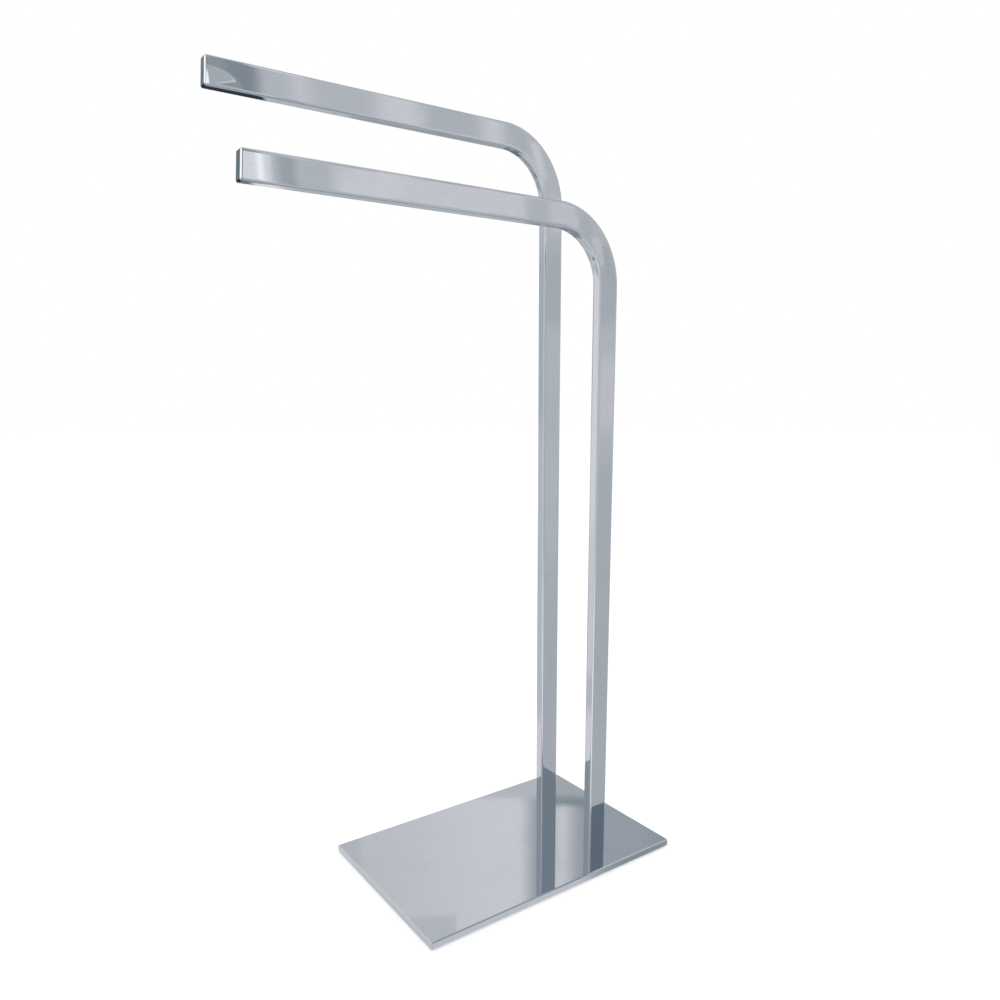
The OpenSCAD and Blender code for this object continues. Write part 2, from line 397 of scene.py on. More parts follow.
def chrome(name, groups, long_waves=9.0, drawn=False):
    """Mirror chrome plating: slow waves, fine grain, faint smudges, worn bevels, dull insides of bends."""
    material, tree, shader, place = new_finish(name, 1.0)
    waves = use_group(tree, groups["polish_waves"], Place=place, Long_waves=long_waves)
    marks = use_group(tree, groups["hand_marks"], Place=place)
    wear = use_group(tree, groups["edge_wear"], Place=place, Edge=mesh_value(tree, "edge_share"))
    along = mesh_value(tree, "polish_run", "Vector") if drawn else place
    grain = use_group(tree, groups["polish_grain"], Place=place, Along=along)
    dull = mesh_value(tree, "dull_share")
    grime = mesh_value(tree, "grime_share")
    smudge = marks.outputs["Smudge"]
    worn = wear.outputs["Worn"]

    dark = scaled(CHROME, GRAIN_DARK)
    bright = scaled(CHROME, GRAIN_BRIGHT)
    tone = mix_colours(tree, grain.outputs["Tone"], dark, bright)
    cover = math_node(tree, "MULTIPLY", smudge, SMUDGE_COVER)
    touched = mix_colours(tree, cover, tone, scaled(CHROME, SMUDGE_TONE))
    streaked = mix_colours(tree, grain.outputs["Streaks"], STREAK, scaled(CHROME, BEND_TONE))
    body = mix_colours(tree, dull, touched, streaked)
    plated = mix_colours(tree, worn, body, scaled(CHROME, WORN_TONE))
    tree.links.new(mix_colours(tree, grime, plated, GRIME), shader.inputs["Base Color"])
    tree.links.new(math_node(tree, "SUBTRACT", 1.0, grime), shader.inputs["Metallic"])

    rough = math_node(tree, "MULTIPLY_ADD", dull, DULL_ROUGH, POLISH)
    rough = math_node(tree, "MULTIPLY_ADD", smudge, SMUDGE_ROUGH, rough)
    rough = math_node(tree, "MULTIPLY_ADD", marks.outputs["Streak"], WIPE_ROUGH, rough)
    rough = math_node(tree, "MULTIPLY_ADD", worn, WORN_ROUGH, rough)
    tree.links.new(rough, shader.inputs["Roughness"])
    raise_surface(tree, shader, waves.outputs["Height"], 1.0, WAVE_DEPTH)
    return material


def drawn_steel(name, groups, colour, polish, grain_scale, grain_stretch):
    """Plain or plated steel with fine drawing lines and a mottled tone."""
    material, tree, shader, place = new_finish(name, 1.0)
    stretch = add(tree, "ShaderNodeMapping", Scale=grain_stretch)
    tree.links.new(place, stretch.inputs["Vector"])
    grain = add(tree, "ShaderNodeTexNoise", Scale=grain_scale, Detail=6.0, Roughness=0.7)
    tree.links.new(stretch.outputs["Vector"], grain.inputs["Vector"])
    marks = use_group(tree, groups["hand_marks"], Place=place, Size=90.0, Cover=0.42)
    edge = mesh_value(tree, "edge_share")
    wear = use_group(tree, groups["edge_wear"], Place=place, Edge=edge, Breakup=600.0)
    body = mix_colours(tree, marks.outputs["Smudge"], colour, scaled(colour, STEEL_SMUDGE_TONE))
    steel = mix_colours(tree, wear.outputs["Worn"], body, scaled(colour, STEEL_WORN_TONE))
    tree.links.new(steel, shader.inputs["Base Color"])
    smoothest = polish - STEEL_SMOOTHER
    roughest = polish + STEEL_ROUGHER
    rough = map_range(tree, grain.outputs["Fac"], 0.3, 0.7, smoothest, roughest)
    tree.links.new(rough, shader.inputs["Roughness"])
    raise_surface(tree, shader, grain.outputs["Fac"], 0.4, STEEL_LINE_DEPTH)
    return material


def pad_rubber(name, groups):
    """Matte black moulded rubber with dust in its grain."""
    material, tree, shader, place = new_finish(name, 0.0)
    grain = add(tree, "ShaderNodeTexNoise", Scale=2400.0, Detail=4.0, Roughness=0.6)
    tree.links.new(place, grain.inputs["Vector"])
    marks = use_group(tree, groups["hand_marks"], Place=place, Size=220.0, Cover=0.45)
    edge = mesh_value(tree, "edge_share")
    wear = use_group(tree, groups["edge_wear"], Place=place, Edge=edge, Breakup=900.0)
    dusty = mix_colours(tree, marks.outputs["Smudge"], RUBBER, RUBBER_DUST)
    rubbed = mix_colours(tree, wear.outputs["Worn"], dusty, RUBBER_WORN)
    tree.links.new(rubbed, shader.inputs["Base Color"])
    rough = map_range(tree, grain.outputs["Fac"], 0.3, 0.7, 0.62, 0.88)
    tree.links.new(rough, shader.inputs["Roughness"])
    raise_surface(tree, shader, grain.outputs["Fac"], 0.5, RUBBER_GRAIN_DEPTH)
    return material


def finish_piece(name, bm, material, slot, *nodes):
    """Makes a mesh piece that rides on the stand and stands for its CAD nodes."""
    mesh = bpy.data.meshes.new(name)
    bm.to_mesh(mesh)
    bm.free()
    mesh.materials.append(material)
    mesh.shade_smooth()
    mesh.set_sharp_from_angle(angle=SHARP_TURN)
    piece = bpy.data.objects.new(name, mesh)
    bpy.context.scene.collection.objects.link(piece)
    keep = piece.modifiers.new("flat_faces", "WEIGHTED_NORMAL")
    keep.weight = 100
    keep.keep_sharp = True
    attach(piece, "root")
    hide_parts(*nodes)


def tube_outline(bm, width):
    """Outline of the tube's section in the XY plane, with round corners, as one face."""
    bmesh.ops.create_grid(bm, x_segments=1, y_segments=1, size=0.5)
    bmesh.ops.scale(bm, vec=(width, TUBE_D, 1.0), verts=bm.verts)
    bmesh.ops.bevel(
        bm, geom=bm.verts[:], offset=TUBE_EDGE_R, segments=EDGE_STEPS, profile=0.5, affect="VERTICES",
        material=-1,
    )
    bm.faces.ensure_lookup_table()
    return bm.faces[0]


def edge_layer(bm):
    """Vertex values that tell the materials where the worn edges are."""
    return bm.verts.layers.float.new("edge_share")


def tube_ring(bm):
    """Section of the tube's wall as a ring of faces, wide side along X."""
    face = tube_outline(bm, TUBE_W)
    share = edge_layer(bm)
    for vert in bm.verts:
        corner = Vector((TUBE_W / 2 - abs(vert.co.x), TUBE_D / 2 - abs(vert.co.y)))
        turn = max(0.0, 1.0 - max(corner.x, corner.y) / TUBE_EDGE_R)
        vert[share] = min(1.0, 2.0 * turn)
    bmesh.ops.inset_region(bm, faces=[face], thickness=TUBE_WALL, use_even_offset=True, use_boundary=True)
    bmesh.ops.delete(bm, geom=[face], context="FACES_ONLY")
    wide = [edge for edge in bm.edges if abs(edge.verts[0].co.x - edge.verts[1].co.x) > TUBE_W / 2]
    bmesh.ops.subdivide_edges(bm, edges=wide, cuts=WIDE_CELLS - 1)
    narrow = [edge for edge in bm.edges if abs(edge.verts[0].co.y - edge.verts[1].co.y) > TUBE_D / 2]
    bmesh.ops.subdivide_edges(bm, edges=narrow, cuts=NARROW_CELLS - 1)
    return bm.faces[:]


def sweep(bm, faces, centre, axis, angle, move, steps):
    """Carries a ring of faces on, straight or round a bend, and returns the ring at the far end."""
    edges = list({edge for face in faces for edge in face.edges})
    verts = list({vert for face in faces for vert in face.verts})
    made = bmesh.ops.spin(
        bm, geom=faces + edges + verts, cent=centre, axis=axis, dvec=move, angle=angle, steps=steps,
        use_duplicate=False,
    )
    return [item for item in made["geom_last"] if isinstance(item, bmesh.types.BMFace)]


def level_edges(bm, height):
    """The edges that lie at a height."""
    return [edge for edge in bm.edges if all(abs(vert.co.z - height) < NEAR for vert in edge.verts)]


def widest_face(bm, height):
    """The largest of the level faces at a height."""
    level = [face for face in bm.faces if abs(face.calc_center_median().z - height) < NEAR]
    return max(level, key=lambda face: face.calc_area())


def pull_face(bm, face, move):
    """Pulls a face out of the shell it belongs to and returns it at its new place."""
    made = bmesh.ops.extrude_face_region(bm, geom=[face])
    bmesh.ops.delete(bm, geom=[face], context="FACES_ONLY")
    moved = next(item for item in made["geom"] if isinstance(item, bmesh.types.BMFace))
    bmesh.ops.translate(bm, vec=move, verts=moved.verts)
    return moved


def press(bm, centre, reach, move, cone):
    """Presses a shallow dent, a cone with a crisp rim or a round one whose rim fades out."""
    for vert in bm.verts:
        offset = vert.co - centre
        far = math.sqrt(sum((part / size) ** 2 for part, size in zip(offset, reach)))
        if far < 1.0:
            share = 1.0 - far if cone else 0.5 + 0.5 * math.cos(math.pi * far)
            vert.co += Vector(move) * share


def polish_run(bm, bend, foot):
    """Gives each vertex its place across the section and along the tube, for lines that follow the bend."""
    run = bm.verts.layers.float_vector.new("polish_run")
    post = bend.z - foot
    for vert in bm.verts:
        arm = vert.co - bend
        if arm.z <= 0.0:
            vert[run] = (arm.x - BEND_MID_R, arm.y, vert.co.z - foot)
        elif arm.x <= 0.0:
            vert[run] = (arm.z - BEND_MID_R, arm.y, post + BEND_MID_R * math.pi / 2 - arm.x)
        else:
            turn = math.atan2(arm.z, arm.x)
            vert[run] = (math.hypot(arm.x, arm.z) - BEND_MID_R, arm.y, post + BEND_MID_R * turn)


def bending_marks(bm, bend, dullness):
    """Dishes the inner and outer walls, swells the side walls and dulls the inside, most at mid-bend."""
    dull = bm.verts.layers.float.new("dull_share")
    for vert in bm.verts:
        arm = vert.co - bend
        turn = math.atan2(arm.z, arm.x)
        if not 0.0 < turn < math.pi / 2:
            continue
        out = Vector((math.cos(turn), 0.0, math.sin(turn)))
        rise = (Vector((arm.x, 0.0, arm.z)).length - BEND_MID_R) / (TUBE_W / 2)
        side = arm.y / (TUBE_D / 2)
        share = min(1.0, BEND_ONSET * math.sin(2.0 * turn)) ** 2
        hollow = 1.0 - min(1.0, side * side)
        vert[dull] = dullness * share if rise < INNER_WALL else 0.0
        if rise < 0.0:
            vert.co += out * (INNER_DISH * share * hollow * rise * rise)
        else:
            vert.co -= out * (OUTER_DISH * share * hollow * rise * rise)
        swell = 1.0 - min(1.0, ((rise - SWELL_MIDDLE) / SWELL_REACH) ** 2)
        vert.co.y += SIDE_BULGE * share * swell * side


def bent_tube(name, node, tier, material):
    """Hollow tube: post, quarter bend and arm in one sweep, on the CAD tube's place."""
    low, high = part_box(node)
    post_x = high.x - TUBE_W / 2
    mid_y = (low.y + high.y) / 2
    arm_z = high.z - TUBE_W / 2
    bend = Vector((post_x - BEND_MID_R, mid_y, arm_z - BEND_MID_R))
    tip_start = low.x + SLANT_RUN + GAP_W[tier] + TIP_RUN
    bm = bmesh.new()
    foot = tube_ring(bm)
    bmesh.ops.translate(bm, vec=(post_x, mid_y, low.z), verts=bm.verts)
    post = bend.z - low.z
    arm = bend.x - tip_start
    post_steps = round(post / RUN_STEP)
    arm_steps = round(arm / RUN_STEP)
    up = Vector((0.0, 0.0, 1.0))
    left = Vector((-1.0, 0.0, 0.0))
    start = sweep(bm, foot, bend, up, 0.0, up * post / post_steps, post_steps)
    end = sweep(bm, start, bend, (0.0, -1.0, 0.0), math.pi / 2, (0.0, 0.0, 0.0), BEND_STEPS)
    near_tip = sweep(bm, end, bend, up, 0.0, left * arm / arm_steps, arm_steps)
    sweep(bm, near_tip, bend, up, 0.0, left * TIP_RUN / TIP_STEPS, TIP_STEPS)
    polish_run(bm, bend, low.z)
    bending_marks(bm, bend, BEND_DULL[tier])
    for vert in bm.verts:
        run = max(0.0, (tip_start - vert.co.x) / TIP_RUN)
        if vert.co.z > bend.z:
            vert.co.x += run * math.tan(TIP_SLANT) * (vert.co.z - arm_z)
    corner = Vector((low.x, low.y, high.z - TUBE_W))
    for centre, reach, depth, cone in TIP_DENTS[tier]:
        press(bm, corner + Vector(centre), reach, (0.0, depth, 0.0), cone)
    bmesh.ops.recalc_face_normals(bm, faces=bm.faces)
    finish_piece(name, bm, material, "tube_chrome", node)


def end_cap(name, node, tier, material):
    """Bevelled cap on the arm's slanted end, with a fine gap and a hollow plug behind it."""
    low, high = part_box(node)
    gap = GAP_W[tier]
    bm = bmesh.new()
    seat = tube_outline(bm, TUBE_W / math.cos(TIP_SLANT))
    bmesh.ops.translate(bm, vec=(0.0, 0.0, gap), verts=bm.verts)
    rise = bmesh.ops.extrude_face_region(bm, geom=[seat])
    front = next(item for item in rise["geom"] if isinstance(item, bmesh.types.BMFace))
    bmesh.ops.translate(bm, vec=(0.0, 0.0, CAP_T - gap), verts=front.verts)
    bmesh.ops.bevel(
        bm, geom=front.edges[:], offset=CAP_BEVEL, segments=2, profile=FLAT_BEVEL, affect="EDGES",
        material=-1,
    )
    share = edge_layer(bm)
    for vert in bm.verts:
        vert[share] = 1.0 if abs(vert.co.z - CAP_T + CAP_BEVEL / 2) < NEAR else 0.0
    seat = widest_face(bm, gap)
    bmesh.ops.inset_region(bm, faces=[seat], thickness=GAP_DEEP, use_even_offset=True)
    grime = bm.verts.layers.float.new("grime_share")
    neck = pull_face(bm, seat, (0.0, 0.0, -2.0 * gap))
    for face in [neck] + [beside for edge in neck.edges for beside in edge.link_faces]:
        for vert in face.verts:
            vert[grime] = 1.0
    step = TUBE_WALL + PLUG_FIT - GAP_DEEP
    bmesh.ops.inset_region(bm, faces=[neck], thickness=step, use_even_offset=True)
    end = pull_face(bm, neck, (0.0, 0.0, 2.0 * gap - PLUG_L))
    bmesh.ops.inset_region(bm, faces=[end], thickness=PLUG_WALL, use_even_offset=True)
    pull_face(bm, end, (0.0, 0.0, PLUG_L))
    for vert in bm.verts:
        if vert.co.z < NEAR:
            vert.co.x -= vert.co.z * math.tan(TIP_SLANT)
    turn = Matrix.Rotation(TIP_SLANT - math.pi / 2, 3, "Y")
    bmesh.ops.rotate(bm, matrix=turn, verts=bm.verts)
    tube_low, tube_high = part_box(node.replace("_end_cap", "_tube"))
    place = (tube_low.x + SLANT_RUN, (low.y + high.y) / 2, tube_high.z - TUBE_W / 2)
    bmesh.ops.translate(bm, vec=place, verts=bm.verts)
    bmesh.ops.recalc_face_normals(bm, faces=bm.faces)
    finish_piece(name, bm, material, "cap_chrome", node)


def ring(bm, x, y, radius, height, steps=ROUND_STEPS):
    """Loop of edges round an upright axis."""
    place = Matrix.Translation((x, y, height))
    made = bmesh.ops.create_circle(bm, segments=steps, radius=radius, matrix=place)
    return list({edge for vert in made["verts"] for edge in vert.link_edges})


def screw_places():
    """Where the four screws stand, on the middle lines of the posts."""
    for node in ("tall_foot_block", "short_foot_block"):
        low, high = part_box(node)
        for side in (-1, 1):
            yield (low.x + high.x) / 2 + side * SCREW_PITCH / 2, (low.y + high.y) / 2


def base_plate(material):
    """Heavy plate with round upright corners and fine bevels, above and below."""
    low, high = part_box("base_plate")
    size = high - low
    bm = bmesh.new()
    bmesh.ops.create_cube(bm, size=1.0)
    bmesh.ops.scale(bm, vec=size, verts=bm.verts)
    bmesh.ops.translate(bm, vec=(low + high) / 2, verts=bm.verts)
    upright = [edge for edge in bm.edges if abs(edge.verts[0].co.z - edge.verts[1].co.z) > size.z / 2]
    bmesh.ops.bevel(
        bm, geom=upright, offset=PLATE_CORNER_R, segments=EDGE_STEPS, profile=0.5, affect="EDGES",
        material=-1,
    )
    share = edge_layer(bm)
    for height, bevel in ((high.z, PLATE_BEVEL), (low.z, PLATE_LOW_BEVEL)):
        bmesh.ops.bevel(
            bm, geom=level_edges(bm, height), offset=bevel, segments=2, profile=FLAT_BEVEL, affect="EDGES",
            material=-1,
        )
    middles = (high.z - PLATE_BEVEL / 2, low.z + PLATE_LOW_BEVEL / 2)
    for vert in bm.verts:
        vert[share] = 1.0 if any(abs(vert.co.z - middle) < NEAR for middle in middles) else 0.0
    under = widest_face(bm, low.z)
    upper = widest_face(bm, high.z)
    under_rim = under.edges[:]
    upper_rim = upper.edges[:]
    bmesh.ops.delete(bm, geom=[under, upper], context="FACES_ONLY")
    land = low.z + HEAD_SINK + HEAD_LAND
    throat = land + (SINK_D - HOLE_D) / 2
    profile = ((SINK_D / 2, low.z), (SINK_D / 2, land), (HOLE_D / 2, throat), (HOLE_D / 2, high.z))
    for x, y in screw_places():
        rings = [ring(bm, x, y, radius, height) for radius, height in profile]
        for lower, higher in zip(rings, rings[1:]):
            bmesh.ops.bridge_loops(bm, edges=lower + higher)
        under_rim += rings[0]
        upper_rim += rings[-1]
    for rim in (under_rim, upper_rim):
        bmesh.ops.triangle_fill(bm, edges=rim, use_beauty=True)
    bmesh.ops.recalc_face_normals(bm, faces=bm.faces)
    finish_piece("base_plate_shell", bm, material, "plate_chrome", "base_plate")


def post_screws(name, node, material):
    """Two countersunk screws with a hexagonal socket, seen only from below."""
    low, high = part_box(node)
    bm = bmesh.new()
    share = edge_layer(bm)
    mid_y = (low.y + high.y) / 2
    key_r = KEY_W / 2 / math.cos(math.pi / KEY_SIDES)
    profile = (
        (HEAD_D / 2 - HEAD_ROUND, 0.0, 1.0), (HEAD_D / 2, HEAD_ROUND, 1.0), (HEAD_D / 2, HEAD_LAND, 0.0),
        (SCREW_D / 2, HEAD_LAND + (HEAD_D - SCREW_D) / 2, 0.0), (SCREW_D / 2, SCREW_L - TIP_BEVEL, 0.0),
        (SCREW_D / 2 - TIP_BEVEL, SCREW_L, 0.0),
    )
    for side in (-1, 1):
        x = (low.x + high.x) / 2 + side * SCREW_PITCH / 2
        rings = []
        for radius, height, worn in profile:
            rings.append(ring(bm, x, mid_y, radius, low.z + height))
            for vert in {end for edge in rings[-1] for end in edge.verts}:
                vert[share] = worn
        for lower, higher in zip(rings, rings[1:]):
            bmesh.ops.bridge_loops(bm, edges=lower + higher)
        bmesh.ops.edgenet_fill(bm, edges=rings[-1])
        mouth, rim, floor = (
            ring(bm, x, mid_y, radius, low.z + height, KEY_SIDES)
            for radius, height in ((key_r + KEY_ROUND, 0.0), (key_r, KEY_ROUND), (key_r, KEY_DEEP))
        )
        bmesh.ops.triangle_fill(bm, edges=rings[0] + mouth, use_beauty=True)
        bmesh.ops.bridge_loops(bm, edges=mouth + rim)
        bmesh.ops.bridge_loops(bm, edges=rim + floor)
        bmesh.ops.edgenet_fill(bm, edges=floor)
    bmesh.ops.recalc_face_normals(bm, faces=bm.faces)
    finish_piece(name, bm, material, "screw_steel", node)


def floor_pad(name, node, material):
    """Round rubber pad with a rounded lower rim and a shallow grip ring."""
    low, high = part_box(node)
    radius = (high.x - low.x) / 2
    height = high.z - low.z
    bm = bmesh.new()
    bmesh.ops.create_circle(bm, cap_ends=True, segments=ROUND_STEPS, radius=radius)
    bm.faces.ensure_lookup_table()
    rise = bmesh.ops.extrude_face_region(bm, geom=bm.faces[:])
    top = [item for item in rise["geom"] if isinstance(item, bmesh.types.BMVert)]
    bmesh.ops.translate(bm, vec=(0.0, 0.0, height), verts=top)
    bmesh.ops.bevel(
        bm, geom=level_edges(bm, 0.0), offset=PAD_ROUND, segments=PAD_ROUND_STEPS, profile=0.5,
        affect="EDGES", material=-1,
    )
    share = edge_layer(bm)
    for vert in bm.verts:
        vert[share] = 1.0 if NEAR < vert.co.z < PAD_ROUND - NEAR else 0.0
    sole = widest_face(bm, 0.0)
    bmesh.ops.inset_region(bm, faces=[sole], thickness=radius * RING_PLACE, use_even_offset=True)
    bmesh.ops.inset_region(
        bm, faces=[sole], thickness=radius * RING_WIDTH, depth=-RING_DEPTH, use_even_offset=True
    )
    bmesh.ops.recalc_face_normals(bm, faces=bm.faces)
    centre = (low + high) / 2
    bmesh.ops.translate(bm, vec=(centre.x, centre.y, low.z), verts=bm.verts)
    finish_piece(name, bm, material, "pad_rubber", node)


# Boards and lights of the studio as the metal sees them, painted one over the other: azimuth from +Y
# towards +X and elevation of the middle, half width, half height and soft edge, all in degrees, then
# level and share of slate
SURROUNDINGS = (
    # In front, for the wide faces of the arms and posts and the plate's front edge
    ("room_front", 140.0, -2.0, 62.0, 50.0, 12.0, 0.8, 0.16),
    ("room_low", 134.0, -13.6, 5.6, 8.9, 1.2, 0.71, 0.16),
    ("room_top", 139.5, 6.9, 3.6, 2.3, 1.0, 0.71, 0.16),
    ("room_side", 143.5, -17.5, 4.0, 6.0, 2.0, 0.74, 0.16),
    ("room_band", 137.3, 0.0, 1.9, 2.4, 0.8, 0.9, 0.1),
    ("floor_front", 138.0, -36.0, 52.0, 22.0, 6.0, 0.7, 0.16),
    ("low_floor", 95.0, -66.0, 80.0, 20.0, 5.0, 0.56, 0.16),
    ("light_floor", 147.0, -35.0, 9.0, 6.0, 1.2, 0.9, 0.16),
    ("dark_floor", 132.0, -35.0, 5.0, 6.0, 2.0, 0.46, 0.16),
    ("ceiling_front", 142.5, 33.0, 3.0, 8.0, 0.4, 0.6, 0.3),
    ("beam_front", 136.5, 33.0, 3.0, 8.0, 0.4, 0.44, 0.3),
    ("dark_beam", 138.0, 46.0, 9.0, 5.5, 1.0, 0.5, 0.2),
    # High on the right and behind, for the plate
    ("right_wall", 66.0, 30.0, 25.6, 30.0, 1.0, 0.58, 0.18),
    ("right_shade", 60.0, 30.0, 13.0, 20.0, 2.0, 0.48, 0.18),
    ("behind_edge", 38.1, 34.0, 0.9, 8.0, 0.9, 0.55, 0.16),
    ("behind_calm", 14.0, 32.0, 16.0, 12.0, 6.0, 0.88, 0.1),
    ("behind_far", 20.0, 32.0, 4.3, 12.0, 0.25, 0.8, 0.16),
    ("behind_high", 32.0, 13.8, 9.5, 13.9, 0.15, 0.66, 0.16),
    ("behind_wall", 34.0, 25.0, 4.6, 2.7, 0.15, 0.8, 0.16),
    ("behind_line", 40.3, 27.9, 1.3, 0.28, 0.12, 0.42, 0.2),
    ("behind_top", 26.0, 38.5, 5.5, 3.5, 0.15, 0.82, 0.16),
    # On the left and behind the camera, for the posts' narrow faces, the caps and the round edges
    ("left_bright", -70.0, -8.0, 29.0, 40.0, 2.0, 1.06, 0.0),
    ("left_glow", -44.0, -1.5, 4.0, 8.5, 2.5, 1.12, 0.0),
    ("left_calm", -44.0, -15.5, 4.0, 6.0, 1.5, 1.0, 0.05),
    ("left_band", -43.0, -20.6, 3.2, 1.2, 0.6, 0.82, 0.1),
    ("left_grey", -36.0, -4.2, 3.8, 18.3, 0.8, 0.83, 0.16),
    ("left_shade", -36.0, 4.0, 3.8, 5.5, 1.5, 0.71, 0.16),
    ("left_high", -36.0, 36.0, 7.5, 12.0, 1.5, 0.78, 0.3),
    ("left_low", -32.0, -36.0, 9.0, 8.0, 2.0, 0.84, 0.16),
    ("dark_door", -58.0, 0.0, 8.0, 60.0, 4.0, 0.45, 0.2),
    ("left_room", -138.0, -20.0, 40.0, 29.0, 2.0, 0.78, 0.16),
    ("left_strip", -138.0, -22.0, 40.0, 9.0, 4.0, 1.3, 0.0),
    ("wall_behind", -147.0, 30.0, 26.0, 26.0, 4.0, 0.72, 0.16),
    ("window", -107.0, 32.0, 11.0, 23.0, 2.0, 1.7, 0.0),
    ("window_behind", -179.0, 19.0, 10.0, 11.0, 2.0, 1.6, 0.0),
    ("behind_left", -15.0, 12.0, 12.0, 14.0, 6.0, 0.27, 0.16),
    # Low behind, for the undersides of the arms
    ("dark_low", 2.0, -18.0, 18.5, 4.4, 0.25, 0.06, 0.16),
    ("dark_tip", 9.6, -11.0, 9.8, 3.0, 0.3, 0.26, 0.16),
    ("dark_corner", -19.0, -13.5, 6.0, 3.5, 1.0, 0.05, 0.16),
    ("behind_far_low", 22.8, -17.2, 2.2, 2.4, 0.3, 0.71, 0.16),
    ("behind_low", 32.0, -16.9, 6.8, 2.5, 1.2, 0.52, 0.16),
    ("behind_mid", 30.3, -10.8, 9.0, 3.4, 0.8, 0.62, 0.16),
    ("behind_end", 41.4, -11.0, 4.2, 3.4, 0.8, 0.36, 0.16),
    # High in front, for the tall arm from its tip to its bend, then for the short arm
    ("tall_panel", 154.0, 18.2, 10.5, 3.0, 0.5, 0.82, 0.16),
    ("tall_dark", 163.6, 19.5, 3.6, 4.3, 0.6, 0.51, 0.16),
    ("tall_gap", 157.3, 18.2, 0.5, 3.0, 0.8, 0.97, 0.1),
    ("tall_light", 151.1, 18.2, 1.4, 3.0, 1.0, 1.01, 0.0),
    ("tall_shade", 147.93, 18.2, 1.53, 3.0, 0.7, 0.77, 0.16),
    ("tall_end", 145.2, 17.0, 0.6, 2.4, 0.7, 1.0, 0.0),
    ("bend_shade", 143.6, 15.6, 0.7, 1.8, 0.3, 0.76, 0.16),
    ("bend_light", 142.2, 14.6, 0.4, 1.3, 0.3, 1.0, 0.1),
    ("short_panel", 150.5, 12.6, 7.4, 1.8, 0.4, 0.98, 0.0),
    ("short_room", 153.4, 12.6, 2.2, 1.8, 1.2, 1.05, 0.0),
    ("short_bright", 161.4, 12.6, 1.6, 2.5, 0.4, 1.16, 0.0),
    ("short_dark", 158.3, 12.6, 0.6, 3.0, 0.35, 0.62, 0.16),
    ("short_grey", 156.6, 12.6, 1.1, 3.0, 0.5, 0.8, 0.16),
    ("short_end", 140.7, 11.3, 0.8, 1.1, 0.3, 0.92, 0.16),
    ("elbow_shade", 139.0, 10.6, 0.45, 1.0, 0.25, 0.74, 0.16),
    ("elbow_light", 138.4, 9.0, 0.45, 1.1, 0.2, 0.89, 0.1),
    ("elbow_dark", 137.5, 8.5, 0.3, 1.2, 0.2, 0.67, 0.16),
    # Painted over the others, for the dents and lines of light at the tips and the inside of the bends
    ("tall_edge", 160.8, 19.3, 0.8, 4.0, 0.5, 0.43, 0.16),
    ("dent_glow", 167.0, 11.4, 5.6, 3.6, 0.3, 0.7, 0.16),
    ("dent_line", 166.5, 15.2, 5.2, 0.3, 0.15, 0.95, 0.1),
    ("dent_spark", 158.4, 23.0, 1.7, 2.4, 0.5, 1.15, 0.0),
    ("short_peak", 160.0, 12.6, 0.25, 2.4, 0.14, 1.62, 0.0),
    ("bend_low", 0.0, -37.0, 17.0, 14.0, 3.0, 0.84, 0.16),
    ("bend_grey", 24.0, -26.0, 8.0, 5.0, 2.0, 0.62, 0.16),
    ("bend_dark", 35.5, -22.0, 4.5, 5.4, 1.0, 0.33, 0.2),
    ("bend_shadow", 27.5, -34.5, 6.0, 9.0, 1.0, 0.33, 0.2),
    ("bend_corner", 17.5, -40.5, 6.0, 6.5, 1.2, 0.36, 0.2),
    ("bend_streak", -27.0, -27.5, 4.0, 2.2, 1.0, 0.42, 0.2),
    ("over_arms", 163.0, 52.0, 15.0, 20.0, 3.0, 0.5, 0.16),
    ("dent_low", 166.0, 26.0, 6.5, 2.2, 0.4, 0.72, 0.16),
    ("dent_pale", 164.6, 21.8, 1.8, 1.9, 0.6, 0.8, 0.16),
    ("short_pale", 159.6, 12.6, 0.25, 2.4, 0.25, 1.15, 0.0),
    ("dent_side", 171.0, 16.0, 2.2, 8.0, 0.6, 1.05, 0.0),
)


def slate(level, share):
    """Grey of a level, with a share of a cool slate tint."""
    return level ** (1 + share), level, level ** (1 - SLATE_BLUE * share), 1.0


def shown_share(tree):
    """1 for rays that show the studio, from the camera or a reflection, and 0 for those that light it."""
    rays = tree.nodes.new("ShaderNodeLightPath").outputs
    shown = math_node(tree, "MAXIMUM", rays["Is Camera Ray"], rays["Is Glossy Ray"])
    return math_node(tree, "MAXIMUM", shown, rays["Is Transmission Ray"])


def soft_board_group():
    """Colour of the surroundings with one soft-edged board painted in."""
    group, start, end = new_group(
        "soft_board",
        [("Azimuth", FLOAT, 0.0), ("Elevation", FLOAT, 0.0), ("Behind", COLOUR, (1.0, 1.0, 1.0, 1.0)),
         ("Across", FLOAT, 0.0), ("Up", FLOAT, 0.0), ("Half width", FLOAT, 1.0),
         ("Half height", FLOAT, 1.0), ("Soft", FLOAT, 1.0), ("Board", COLOUR, (1.0, 1.0, 1.0, 1.0))],
        [("Colour", COLOUR)],
    )
    turn = math_node(group, "SUBTRACT", start["Azimuth"], start["Across"])
    turn = math_node(group, "WRAP", turn, 180.0, -180.0)
    rise = math_node(group, "SUBTRACT", start["Elevation"], start["Up"])
    masks = []
    for offset, half in ((turn, "Half width"), (rise, "Half height")):
        inner = math_node(group, "SUBTRACT", start[half], start["Soft"])
        outer = math_node(group, "ADD", start[half], start["Soft"])
        masks.append(map_range(group, math_node(group, "ABSOLUTE", offset), inner, outer, 1.0, 0.0))
    mask = math_node(group, "MULTIPLY", *masks)
    group.links.new(mix_colours(group, mask, start["Behind"], start["Board"]), end["Colour"])
    return group


